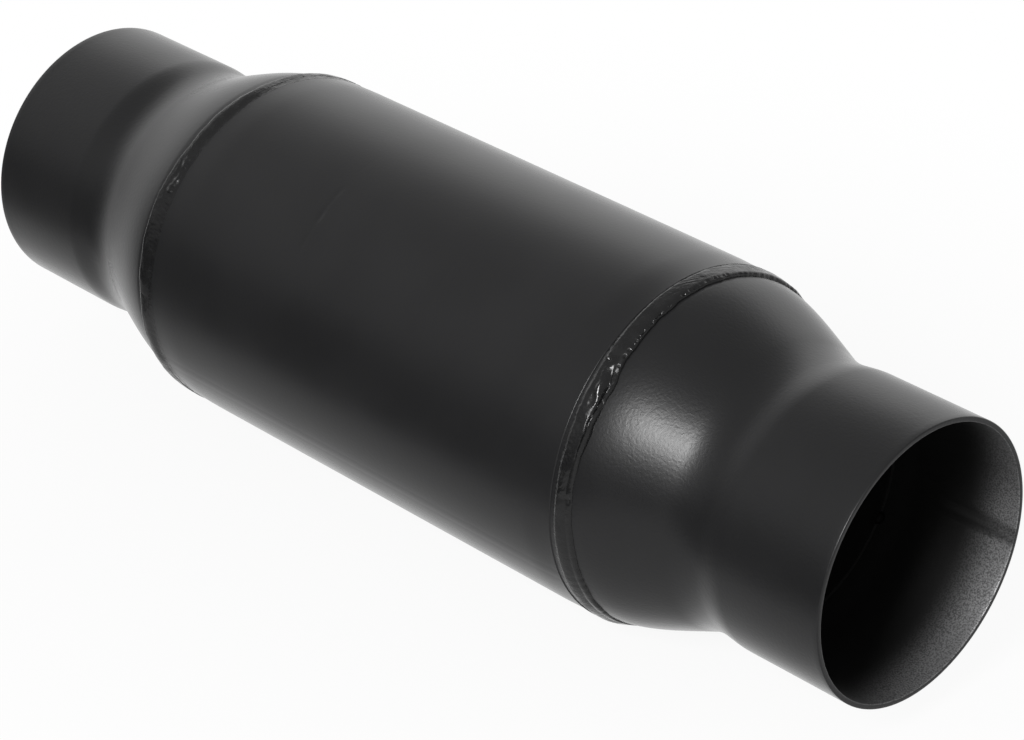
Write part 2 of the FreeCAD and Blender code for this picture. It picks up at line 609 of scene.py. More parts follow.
@dataclass(frozen=True)
class MillSteel:
    """Aluminised steel strip, rolled and left bare inside.

    It is a dull dark grey metal, drawn along the axis by the rolls, and painted black and dull towards
    both ends, as painted shade for the dark inside of the throats.
    """

    name: str = "aluminised_steel_rolled_painted_shade_at_ends"
    colour: str = "#5b5a58"
    dull_colour: str = "#3f3e3c"
    roughness: tuple[float, float] = (0.42, 0.6)
    roll_width: float = 0.5
    roll_length: float = 30.0
    roll_depth: float = 0.004
    roll_spread: tuple[float, float] = (0.3, 0.7)
    # Painted shade: colour and reach of the black painted over the core's ends inside the throats.
    painted_shade_colour: str = "#121212"
    painted_shade_reach: tuple[float, float] = (80.0, 35.0)

    def material(self) -> bpy.types.Material:
        """Build the finish."""
        net = FinishNet(self.name)
        drawn = net.add(Kind.MAPPED, net.place, Scale=(self.roll_width / self.roll_length, 1.0, 1.0))
        lines = net.add(Kind.NOISE, drawn, pattern_scale(self.roll_width), Detail=2.0)
        stain = net.add(Kind.NOISE, net.place, pattern_scale(self.roll_length), Detail=3.0)
        from_middle = net.add(Kind.SPLIT, net.place)["X"].into(Kind.ABSOLUTE)
        # Painted shade, rising from the middle to full black over the core's last stretch at each end.
        start, full = (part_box("slotted_core")[1].x - reach * MM for reach in self.painted_shade_reach)
        painted_shade = net.add(Kind.RANGE, from_middle, start, full)
        steel = net.add(Kind.MIX, stain, linear(self.dull_colour), linear(self.colour))
        return net.close(
            Base_Color=net.add(Kind.MIX, painted_shade, steel, linear(self.painted_shade_colour)),
            Metallic=net.add(Kind.RANGE, painted_shade, 0.0, 1.0, 1.0, 0.0),
            Roughness=net.add(Kind.RANGE, lines, *self.roll_spread, *self.roughness),
            Normal=net.add(Kind.BUMP, lines, self.roll_depth * MM),
        )


@dataclass(frozen=True)
class BareWeld:
    """Weld metal left as it froze, dark from its heat tint and the spray that drifted over it."""

    name: str = "weld_metal_as_cast"
    colour: str = "#1f1d1b"
    tint_colour: str = "#17181b"
    tint_size: float = 2.5
    roughness: float = 0.62
    grain_size: float = 0.5
    grain_depth: float = 0.03

    def material(self) -> bpy.types.Material:
        """Build the finish."""
        net = FinishNet(self.name)
        tint = net.add(Kind.NOISE, net.place, pattern_scale(self.tint_size), Detail=2.0)
        grains = net.add(Kind.NOISE, net.place, pattern_scale(self.grain_size), Detail=1.0)
        return net.close(
            Base_Color=net.add(Kind.MIX, tint, linear(self.colour), linear(self.tint_colour)),
            Metallic=1.0,
            Roughness=self.roughness,
            Normal=net.add(Kind.BUMP, grains, self.grain_depth * MM),
        )


@dataclass(frozen=True)
class NeedledGlass:
    """Needled glass fibre, off-white, of fine crossed strands that scatter light like felt."""

    name: str = "glass_fibre_needled_mat"
    colour: str = "#b9b29c"
    shade_colour: str = "#857e6b"
    roughness: float = 0.9
    strand: float = 0.35
    strand_length: float = 6.0
    strand_twist: float = 0.6
    strand_turns: tuple[float, float] = (0.5, -0.6)
    depth: float = 0.25

    def material(self) -> bpy.types.Material:
        """Build the finish."""
        net = FinishNet(self.name)
        thin = (self.strand / self.strand_length, 1.0, 1.0)
        scale = pattern_scale(self.strand)
        ways = []
        for turn in self.strand_turns:
            laid = net.add(Kind.MAPPED, net.place, Rotation=(turn,) * 3, Scale=thin)
            ways.append(net.add(Kind.NOISE, laid, scale, Detail=2.0, Distortion=self.strand_twist))
        strands = ways[0].into(Kind.MAXIMUM, ways[1])
        return net.close(
            Base_Color=net.add(Kind.MIX, strands, linear(self.shade_colour), linear(self.colour)),
            Roughness=self.roughness,
            IOR=GLASS_IOR,
            Normal=net.add(Kind.BUMP, strands, self.depth * MM),
        )


class Recipe(Net):
    """A Geometry Nodes tree with named inputs, run on a mesh and kept as a plain mesh."""

    def __init__(self, name: str, sizes: dict[str, float]) -> None:
        """Start the tree.

        Args:
            name: The tree's name.
            sizes: Named inputs and what they are set to.
        """
        super().__init__(bpy.data.node_groups.new(name, "GeometryNodeTree"))
        self.sizes = sizes
        interface = self.tree.interface
        interface.new_socket("Geometry", in_out="INPUT", socket_type="NodeSocketGeometry")
        for size in sizes:
            interface.new_socket(size, in_out="INPUT", socket_type="NodeSocketFloat")
        interface.new_socket("Geometry", in_out="OUTPUT", socket_type="NodeSocketGeometry")
        self.given = self.add(Kind.GIVEN)

    def close(self, geometry: Value, material: bpy.types.Material) -> None:
        """End the tree in real geometry with one material."""
        real = self.add(Kind.REAL, geometry)
        self.add(Kind.RESULT, self.add(Kind.DRESSED, real, material))

    def close_raised(self, lift: Value, material: bpy.types.Material) -> None:
        """End the tree in the given mesh, with its skin moved outwards by a lift in millimetres."""
        offset = self.add(Kind.SCALED, self.add(Kind.NORMAL), lift * MM)
        self.close(self.add(Kind.MOVED, self.given["Geometry"], Offset=offset), material)

    def run(self, mesh: bpy.types.Mesh) -> bpy.types.Mesh:
        """Run the tree on a mesh, which the result replaces.

        Args:
            mesh: What the tree starts from.

        Returns:
            The result as a mesh of its own.
        """
        name = mesh.name
        carrier = show(mesh)
        modifier = carrier.modifiers.new(self.tree.name, "NODES")
        modifier.node_group = self.tree
        for item in self.tree.interface.items_tree:
            if item.in_out == "INPUT" and item.name in self.sizes:
                modifier[item.identifier] = float(self.sizes[item.name])
        graph = bpy.context.evaluated_depsgraph_get()
        result = bpy.data.meshes.new_from_object(carrier.evaluated_get(graph), depsgraph=graph)
        carrier.modifiers.remove(modifier)
        bpy.data.objects.remove(carrier)
        bpy.data.meshes.remove(mesh)
        result.name = name
        return result


@dataclass(frozen=True)
class CapSkin:
    """Outer skin of an end cap, by the distance from the rim of its neck."""

    neck_radius: float = 39.8
    draw_start: float = 32.5
    throat_u: float = 42.2
    throat_draw: float = 0.92
    bend_radius: float = 25.0
    entry_angle: float = 22.5
    exit_angle: float = 9.0
    cone_length: float = 23.9
    foot_radius: float = 49.2

    @property
    def cone_u(self) -> float:
        """Distance from the rim to the start of the cone."""
        return self.throat_u + self.bend_radius * math.sin(math.radians(self.entry_angle))

    @property
    def foot_u(self) -> float:
        """Distance from the rim to the foot of the cone."""
        return self.cone_u + self.cone_length

    def radius(self, distance: np.ndarray) -> np.ndarray:
        """Radius of the skin at each distance from the rim.

        Args:
            distance: Distances from the rim.

        Returns:
            The neck, its eased draw-in, the round concave bend and the cone, crowned most at its foot.
        """
        throat = self.neck_radius - self.throat_draw
        draw = self.neck_radius - self.throat_draw * smooth_step(distance, self.draw_start, self.throat_u)
        past = np.clip(distance - self.throat_u, 0.0, self.cone_u - self.throat_u)
        bend = self.bend_radius - np.sqrt(self.bend_radius**2 - past**2)
        start = throat + self.bend_radius * (1.0 - math.cos(math.radians(self.entry_angle)))
        entry, leave = (math.tan(math.radians(angle)) for angle in (self.entry_angle, self.exit_angle))
        power = (entry - leave) / (entry - (self.foot_radius - start) / self.cone_length)
        share = np.clip((distance - self.cone_u) / self.cone_length, 0.0, 1.0)
        cone = self.cone_length * (entry * share - (entry - leave) * share**power / power)
        return np.where(distance < self.throat_u, draw, throat + bend + cone)


@dataclass
class EndCap:
    """One end cap: slip-on neck, drawn-in throat, concave bend, cone and the collar inside the case."""

    end: End
    skin: CapSkin = CapSkin()
    wall: float = 1.5
    rim_round: float = 0.35
    rim_steps: int = 4
    skin_steps: tuple[int, int, int, int, int] = (20, 20, 18, 30, 4)
    seam: Seam = Seam(
        angle=104.0, width=2.4, height=0.35, groove=Hump(2.4, 0.5, 0.05), reach=4.5, spacing=0.3
    )
    seam_shadow: Hump = Hump(0.0, 2.4, 0.05)
    flutter: Wander = Wander(0.04, 46.67, 3.0)
    flutter_reach: Hump = Hump(0.0, 120.0)
    rim_fade: tuple[float, float] = (0.2, 3.0)
    bore_lean: float = 0.3
    around: int = 300

    def section(self) -> tuple[np.ndarray, np.ndarray, np.ndarray]:
        """Closed section of the wall.

        Returns:
            Distance from the rim, radius, and 1 on the inner skin or 0 on the outer, for each point.
        """
        skin = self.skin
        low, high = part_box(f"{self.end.label}_end_cap")
        collar_end = (high.x - low.x) / MM
        places = (self.rim_round, skin.draw_start, skin.throat_u, skin.cone_u, skin.foot_u, collar_end)
        outer_u = steps(*zip(places, places[1:], self.skin_steps))
        outer_r = skin.radius(outer_u)
        slope = np.gradient(outer_r, outer_u)
        lean = np.hypot(1.0, slope)
        inner_u = outer_u + self.wall * slope / lean
        inner_r = outer_r - self.wall / lean
        inner_u[0] = self.rim_round
        inner_u[-1] = collar_end
        quarter = quarter_turn(self.rim_steps)
        edge_u = self.rim_round * (1.0 - np.cos(quarter))
        edge_r = self.rim_round * (1.0 - np.sin(quarter))
        outer_edge = skin.neck_radius - edge_r
        inner_edge = skin.neck_radius - self.wall + edge_r
        distance = np.concatenate([edge_u, outer_u, inner_u[::-1], edge_u[::-1]])
        radius = np.concatenate([outer_edge, outer_r, inner_r[::-1], inner_edge[::-1]])
        inside = np.repeat([0.0, 1.0], len(distance) // 2)
        return distance, radius, inside

    def build(self, coating: bpy.types.Material, overspray: bpy.types.Material) -> bpy.types.Object:
        """Build and dress the cap.

        Args:
            coating: Finish of the outside and the rim.
            overspray: Finish of the bore.

        Returns:
            The finished piece.
        """
        distance, radius, inside = self.section()
        angles = self.seam.angles(self.around)
        off_seam = self.seam.distance(angles, self.skin.neck_radius)
        bead, grooves = self.seam.relief(off_seam)
        waves = (self.flutter.along(angles) - self.flutter.height) * self.flutter_reach.over(angles)
        outer = waves - self.seam_shadow.over(off_seam)
        inner = inside[:, None]
        relief = smooth_step(distance, *self.rim_fade)[:, None]
        relief = relief * ((1.0 - inner) * outer - inner * (bead - grooves))
        along = np.broadcast_to((self.end.rim_x - distance)[:, None] * self.end.value, relief.shape)
        mesh = turned_mesh(f"{self.end.label}_cap", along, radius[:, None] + relief, angles)
        piece = show(mesh, coating, overspray)
        self.paint_bore(mesh)
        return hand_over(piece, f"{self.end.label}_end_cap")

    def paint_bore(self, mesh: bpy.types.Mesh) -> None:
        """Give the faces that look towards the axis the second material."""
        sideways = []
        for name in ("normal", "center"):
            values = np.empty(len(mesh.polygons) * 3)
            mesh.polygons.foreach_get(name, values)
            sideways.append(values.reshape(-1, 3)[:, 1:])
        outward = np.sum(sideways[0] * sideways[1], axis=1)
        inward = outward < -self.bore_lean * self.skin.neck_radius * MM
        mesh.polygons.foreach_set("material_index", inward.astype(int))
        mesh.update()


@dataclass
class CaseShell:
    """The case: one sheet rolled round and seam welded lengthwise, cut square at both ends."""

    wall: float = 1.5
    edge_round: float = 0.4
    edge_steps: int = 5
    length_steps: int = 80
    bore_steps: int = 11
    seam: Seam = Seam(
        angle=-114.0, width=2.6, height=0.015, groove=Hump(1.95, 0.6, 0.012), reach=5.0, spacing=0.35
    )
    seam_ripple: Wander = Wander(0.35, 2.2, 8.0)
    roll_marks: tuple[Hump, ...] = (Hump(71.0, 0.9, 0.015), Hump(22.0, 0.9, 0.012), Hump(-27.0, 0.9, 0.045))
    mark_reach: float = 3.0
    mark_steps: int = 20
    scuff_reach: Hump = Hump(-38.0, 16.0)
    scuff: Wander = Wander(0.8, 4.0, 5.0)
    inlet_shrink: float = 0.22
    outlet_shrink: float = 0.28
    shrink_length: float = 11.0
    shrink_steps: tuple[float, float, int] = (0.5, 6.0, 12)
    around: int = 288

    def shrink(self, along: np.ndarray, half_length: float) -> np.ndarray:
        """How far the weld's shrinkage draws the case in.

        Args:
            along: Places on the axis.
            half_length: Half the case's length.

        Returns:
            The loss of radius at each place.
        """
        drawn = np.where(along < 0.0, self.inlet_shrink, self.outlet_shrink)
        return drawn * smooth_step(np.abs(along), half_length - self.shrink_length, half_length)

    def section(self, half_length: float, radius: float) -> tuple[np.ndarray, np.ndarray]:
        """Closed section of the wall, with more points near the roller marks and the welds.

        Args:
            half_length: Half the case's length.
            radius: Outer radius of the case.

        Returns:
            Place on the axis and radius for each point.
        """
        flat_end = half_length - self.edge_round
        near, far, count = self.shrink_steps
        stretches = [(-flat_end, flat_end, self.length_steps)]
        stretches += [
            (mark.centre - self.mark_reach, mark.centre + self.mark_reach, self.mark_steps)
            for mark in self.roll_marks
        ]
        stretches += [(side * (half_length - near), side * (half_length - far), count) for side in (-1, 1)]
        outer_x = steps(*stretches)
        quarter = quarter_turn(self.edge_steps)
        edge_x = half_length - self.edge_round * (1.0 - np.cos(quarter))
        edge_r = radius - self.edge_round * (1.0 - np.sin(quarter))
        inner_x = np.linspace(half_length, -half_length, self.bore_steps + 1)
        along = np.concatenate([-edge_x, outer_x, edge_x[::-1], inner_x])
        outer_r, inner_r = np.full_like(outer_x, radius), np.full_like(inner_x, radius - self.wall)
        return along, np.concatenate([edge_r, outer_r, edge_r[::-1], inner_r])

    def build(self, coating: bpy.types.Material) -> bpy.types.Object:
        """Build and dress the case.

        Args:
            coating: Finish of the outside.

        Returns:
            The finished piece.
        """
        half_length, radius = half_size("case_shell")
        along, section = self.section(half_length, radius)
        outside = (section > radius - TINY).astype(float)[:, None]
        angles = self.seam.angles(self.around)
        bead, grooves = self.seam.relief(self.seam.distance(angles, radius))
        ripple = 1.0 + self.seam_ripple.along(along)[:, None]
        marks = sum(mark.over(along) for mark in self.roll_marks)[:, None]
        scuff = self.scuff_reach.over(angles) * (1.0 + self.scuff.along(angles))
        shrink = self.shrink(along, half_length)[:, None]
        relief = outside * (bead * ripple - grooves - marks * scuff - shrink)
        grid = np.broadcast_to(along[:, None], relief.shape)
        piece = show(turned_mesh("case", grid, section[:, None] + relief, angles), coating)
        return hand_over(piece, "case_shell")


@dataclass(frozen=True)
class BeadRun:
    """How one bead runs: where it lies on the case and the cap, and how lumpy and torn it is."""

    overlap: float
    ledge: float
    brow: float
    proud: float
    foot: float
    legs: tuple[tuple[float, float], ...]
    fall: float
    ridge_share: float
    hollow_depth: float
    grainy: float
    lump_pitch: float
    lump_height: float
    torn: float
    seed: float


OUTLET_LEGS = (
    (-180, 5.0),
    (-113, 7.3),
    (-88, 6.3),
    (-78, 5.6),
    (-61, 6.8),
    (-46, 7.2),
    (-36, 5.8),
    (-12, 5.0),
    (180, 5.0),
)
INLET_LEGS = ((-180, 4.0), (-90, 3.9), (-55, 4.6), (-36, 3.7), (0, 2.9), (90, 3.4), (180, 4.0))
RUNS = {
    End.OUTLET: BeadRun(
        overlap=0.85,
        ledge=1.7,
        brow=1.15,
        proud=0.12,
        foot=0.8,
        legs=OUTLET_LEGS,
        fall=0.4,
        ridge_share=0.55,
        hollow_depth=0.6,
        grainy=0.2,
        lump_pitch=5.0,
        lump_height=0.5,
        torn=1.0,
        seed=4.0,
    ),
    End.INLET: BeadRun(
        overlap=2.2,
        ledge=0.1,
        brow=3.6,
        proud=0.3,
        foot=1.15,
        legs=INLET_LEGS,
        fall=0.06,
        ridge_share=0.3,
        hollow_depth=0.1,
        grainy=0.3,
        lump_pitch=1.1,
        lump_height=0.42,
        torn=0.0,
        seed=23.0,
    ),
}


@dataclass
class WeldBead:
    """Full fillet bead round the joint of case and cap, flat on top, with a steep foot on the cap.

    The arc stopped once on the camera's side: there the bead has a crater, a lumpy ridge and a crevice.
    Windows, the joint and the smooth stop are by angle, and the crater by the distance from its middle. Other
    humps are by the share of the bead's width past its ledge.
    """

    end: End
    run: BeadRun
    skin: CapSkin = CapSkin()
    around: int = 1200
    row_steps: tuple[int, int, int, int] = (2, 7, 15, 9)
    root_steps: int = 5
    root_inset: float = 0.3
    root_depth: float = 0.6
    collar_depth: float = 0.5
    lap: float = 0.02
    tuck: float = 0.06
    clear: float = 0.02
    sunk: float = 0.05
    top_power: float = 1.6
    ledge_width: float = 0.2
    ledge_least: float = 0.1
    ledge_wander: Wander = Wander(0.1, 4.0, 6.0)
    leg_wanders: tuple[Wander, ...] = (Wander(0.2, 6.0, 0.0), Wander(0.08, 1.6, 1.0))
    crest_wander: Wander = Wander(0.02, 7.0, 2.0)
    low_side: Window = Window((-179.0, -140.0), (-80.0, 0.0))
    near_side: Window = Window((-135.0, -110.0), (0.0, 25.0))
    soft_side: Window = Window((-180.0, -150.0), (-80.0, -62.0))
    soft_fall: float = 0.5
    stop: Window = Window((-59.5, -48.5), (-43.0, -38.6))
    stop_dip: float = 0.4
    dip_ease: tuple[float, float] = (0.3, 0.6)
    lump_share: float = 0.55
    ridge: Hump = Hump(0.0, 0.12)
    ridge_wander: Wander = Wander(0.09, 4.0, 7.0)
    hollow: Hump = Hump(0.24, 0.075)
    crater_angle: float = -38.8
    crater_width: float = 6.2
    crater: tuple[Hump, ...] = (Hump(0.85, 0.28, 0.16), Hump(0.0, 0.45, -0.35))
    crevice: Window = Window((-71.0, -63.0), (-48.0, -44.0))
    crevice_share: float = 0.8
    crevice_wander: Wander = Wander(0.015, 3.0, 4.0)
    crevice_sides: tuple[Hump, ...] = (Hump(0.0, 0.035, -1.1), Hump(0.08, 0.03, 0.25))
    undercut: Window = Window((-46.0, -36.0), (2.0, 16.0))
    undercut_foot: Hump = Hump(0.9, 0.045)
    undercut_depth: tuple[float, float] = (0.15, 0.7)
    pit_wander: Wander = Wander(1.0, 0.9, 5.0)
    pit_level: float = 0.15
    joint: Hump = Hump(-82.5, 1.1)
    joint_notch: tuple[Hump, ...] = (Hump(0.55, 0.4, -0.12), Hump(0.85, 0.08, -0.4))
    plain_side: Window = Window((-160.0, -130.0), (-22.0, 0.0))
    plain_share: float = 0.88
    rough_side: Window = Window((-83.0, -80.0), (-38.0, -25.0))
    smooth_stop: Hump = Hump(-48.5, 6.6, 0.6)
    ripple_pitch: float = 2.6
    ripple_height: float = 0.004
    ripple_bow: float = 5.0
    streak_length: float = 4.5
    streak_width: float = 0.55
    streak_height: float = 0.3
    streak_slant: float = 0.35
    grain_size: float = 0.8
    grain_height: float = 0.4
    fade_in: float = 8.0
    fade_end: float = 0.78
    fade_out: float = 5.0

    def ripples(self, material: bpy.types.Material) -> Recipe:
        """Slanting streaks, bowed freezing ripples and grains that repeat along the bead."""
        recipe = Recipe(
            "weld_ripples",
            {
                "Pitch": self.ripple_pitch,
                "Height": self.ripple_height,
                "Bow": self.ripple_bow,
                "Streak Length": self.streak_length,
                "Streak Width": self.streak_width,
                "Streak Height": self.streak_height,
                "Grain Size": self.grain_size,
                "Grain Height": self.grain_height,
                "Seed": self.run.seed,
            },
        )
        given = recipe.given
        path, across, share, streaky, rough = (
            recipe.add(Kind.ATTRIBUTE, name) for name in ("path", "across", "share", "streaky", "rough")
        )
        off_middle = share - 0.5
        turn = (path + off_middle * off_middle * given["Bow"]) / given["Pitch"]
        wave = (turn * math.tau).into(Kind.SINE)
        grain_scale = 1.0 / MM / given["Grain Size"]
        grains = recipe.add(
            Kind.SEEDED_NOISE, recipe.add(Kind.POSITION), grain_scale, given["Seed"], Detail=2.0
        )
        lengthwise = (path + across) / given["Streak Length"]
        crosswise = (across - path * self.streak_slant) / given["Streak Width"]
        drawn = recipe.add(Kind.JOIN, lengthwise, crosswise, given["Seed"])
        streaks = recipe.add(Kind.NOISE, drawn, 1.0, Detail=2.0)
        fade = (share * self.fade_in).into(Kind.MINIMUM, (self.fade_end - share) * self.fade_out)
        fade = fade.into(Kind.MAXIMUM, 0.0).into(Kind.MINIMUM, 1.0)
        lift = wave * given["Height"] + (streaks - NOISE_MIDDLE) * given["Streak Height"] * streaky
        lift = lift + (grains - NOISE_MIDDLE) * given["Grain Height"] * rough
        recipe.close_raised(lift * fade, material)
        return recipe

    def build(self, material: bpy.types.Material, coating: bpy.types.Material) -> bpy.types.Object:
        """Build and dress the bead.

        Args:
            material: Finish of the bead.
            coating: Finish of its thin edge on the case.

        Returns:
            The finished piece.
        """
        case_x, case_radius = half_size("case_shell")
        angles = even_turn(self.around)
        path = np.radians(angles) * case_radius
        across, radius = self.section(angles, path, case_x, case_radius)
        width = across[-1]
        root = np.linspace(0.0, 1.0, self.root_steps + 2)[1:-1, None]
        collar = self.skin.radius(np.array([self.end.rim_x - case_x])) - self.collar_depth
        root_top = radius[-1] - self.root_depth
        root_across = width - self.root_inset - root * (width - self.run.overlap - self.root_inset)
        along = (case_x - self.run.overlap + np.concatenate([across, root_across])) * self.end.value
        skin = np.concatenate([radius, root_top + root * (collar - root_top)])
        mesh = turned_mesh(f"{self.end.label}_bead", along, skin, angles)
        shares = np.concatenate([across / width, np.full_like(root_across, -1.0)])
        layers = {"path": path, "across": shares * width, "share": shares} | self.uneven_shares(angles)
        for name, values in layers.items():
            layer = mesh.attributes.new(name, "FLOAT", "POINT")
            layer.data.foreach_set("value", np.broadcast_to(values, shares.shape).astype(np.float32).ravel())
        result = self.ripples(material).run(mesh)
        for name in layers:
            result.attributes.remove(result.attributes[name])
        result.materials.append(coating)
        on_edge = np.arange(len(result.polygons)) < (self.row_steps[0] + 1) * self.around
        result.polygons.foreach_set("material_index", on_edge.astype(int))
        held_within(result, case_radius)
        piece = show(face_outwards(result, SOFT_EDGE_ANGLE))
        return hand_over(piece, f"{self.end.label}_weld_bead")

    def uneven_shares(self, angles: np.ndarray) -> dict[str, np.ndarray]:
        """How streaky and how grainy the bead is at each angle: least at the stop and below the joint."""
        rough = self.rough_side.over(angles) * (1.0 - self.smooth_stop.over(angles))
        return {
            "streaky": 1.0 - self.plain_share * self.plain_side.over(angles),
            "rough": self.run.grainy + (1.0 - self.run.grainy) * rough,
        }

    def section(
        self, angles: np.ndarray, path: np.ndarray, case_x: float, case_radius: float
    ) -> tuple[np.ndarray, np.ndarray]:
        """Skin of the bead from the case to the cap, in rows across it.

        Args:
            angles: Angle of each column.
            path: Distance along the bead of each column.
            case_x: Place of the case's end on the axis.
            case_radius: Radius of the case.

        Returns:
            Distance across the bead from its edge on the case, and radius, for each point.
        """
        run = self.run
        ledge = self.ledge_width + run.ledge * self.low_side.over(angles)
        ledge = np.maximum(ledge + self.ledge_wander.along(path, run.seed), self.ledge_least)
        leg = np.interp(angles, *zip(*run.legs))
        leg = leg + sum(part.along(path, run.seed) for part in self.leg_wanders)
        width = run.overlap + leg
        turn = np.radians(angles)
        room = case_radius * (1.0 / np.maximum(np.abs(np.sin(turn)), np.abs(np.cos(turn))) - 1.0)
        proud = run.proud * self.near_side.over(angles) * (1.0 - np.exp(-room / run.proud))
        crest = case_radius + proud - self.sunk - self.crest_wander.along(path, run.seed)
        shrunk = CaseShell().shrink(np.array([(case_x - run.overlap) * self.end.value]), case_x)
        edge = case_radius - shrunk + self.lap
        cap = self.skin.radius(self.end.rim_x - case_x - leg) - self.clear
        soft = self.soft_side.over(angles) * run.torn
        foot = run.foot * (1.0 + soft)
        fall = run.fall + self.soft_fall * soft
        brow_end = ledge + run.brow
        top_end = width - foot
        brink = crest - fall
        flat, rise, level = (np.linspace(0.0, 1.0, count + 1)[:-1, None] for count in self.row_steps[:3])
        drop = np.radians(np.linspace(0.0, 90.0, self.row_steps[3] + 1)[:, None])
        across = [
            np.zeros_like(ledge[None]),
            flat * ledge,
            ledge + run.brow * rise,
            brow_end + level * (top_end - brow_end),
            top_end + foot * np.sin(drop),
        ]
        radius = [
            np.full_like(ledge[None], edge - self.tuck),
            np.full_like(flat * ledge, edge),
            edge + (crest - edge) * smooth_step(rise, 0.0, 1.0),
            crest - fall * level**self.top_power,
            cap + (brink - cap) * np.cos(drop),
        ]
        rows = np.concatenate(across)
        past_ledge = np.clip((rows - ledge) / (width - ledge), 0.0, 1.0)
        return rows, np.concatenate(radius) + self.flaws(past_ledge, rows, angles, path)

    def flaws(
        self, share: np.ndarray, across: np.ndarray, angles: np.ndarray, path: np.ndarray
    ) -> np.ndarray:
        """What the bead's stop, its crevice, its pits and its joint add to its radius.

        Args:
            share: Place across the bead's top, 0 at its crest line and 1 at the cap.
            across: Distance from the bead's edge on the case.
            angles: Angle of each column.
            path: Distance along the bead of each column.

        Returns:
            The height to add at each point.
        """
        run = self.run
        at_stop = self.stop.over(angles)
        ridge = run.ridge_share + self.ridge_wander.along(path, run.seed)
        lumps = 1.0 + Wander(self.lump_share, run.lump_pitch, 3.0).along(path, run.seed)
        height = at_stop * run.lump_height * lumps * self.ridge.over(share - ridge)
        height = height - at_stop * run.hollow_depth * self.hollow.over(share - ridge)
        height = height - at_stop * run.torn * self.stop_dip * smooth_step(share, *self.dip_ease)
        crater_path = np.interp(self.crater_angle, angles, path)
        off_crater = np.hypot(path - crater_path, across - ridge * self.crater_width)
        torn = sum(part.over(off_crater) for part in self.crater)
        line = self.crevice_share + self.crevice_wander.along(path, run.seed)
        torn = torn + self.crevice.over(angles) * sum(side.over(share - line) for side in self.crevice_sides)
        pits = np.clip(self.pit_wander.along(path, run.seed) + self.pit_level, 0.0, 1.0)
        least, more = self.undercut_depth
        torn = torn - self.undercut.over(angles) * self.undercut_foot.over(share) * (least + more * pits)
        torn = torn + self.joint.over(angles) * sum(part.over(share) for part in self.joint_notch)
        return height + run.torn * torn


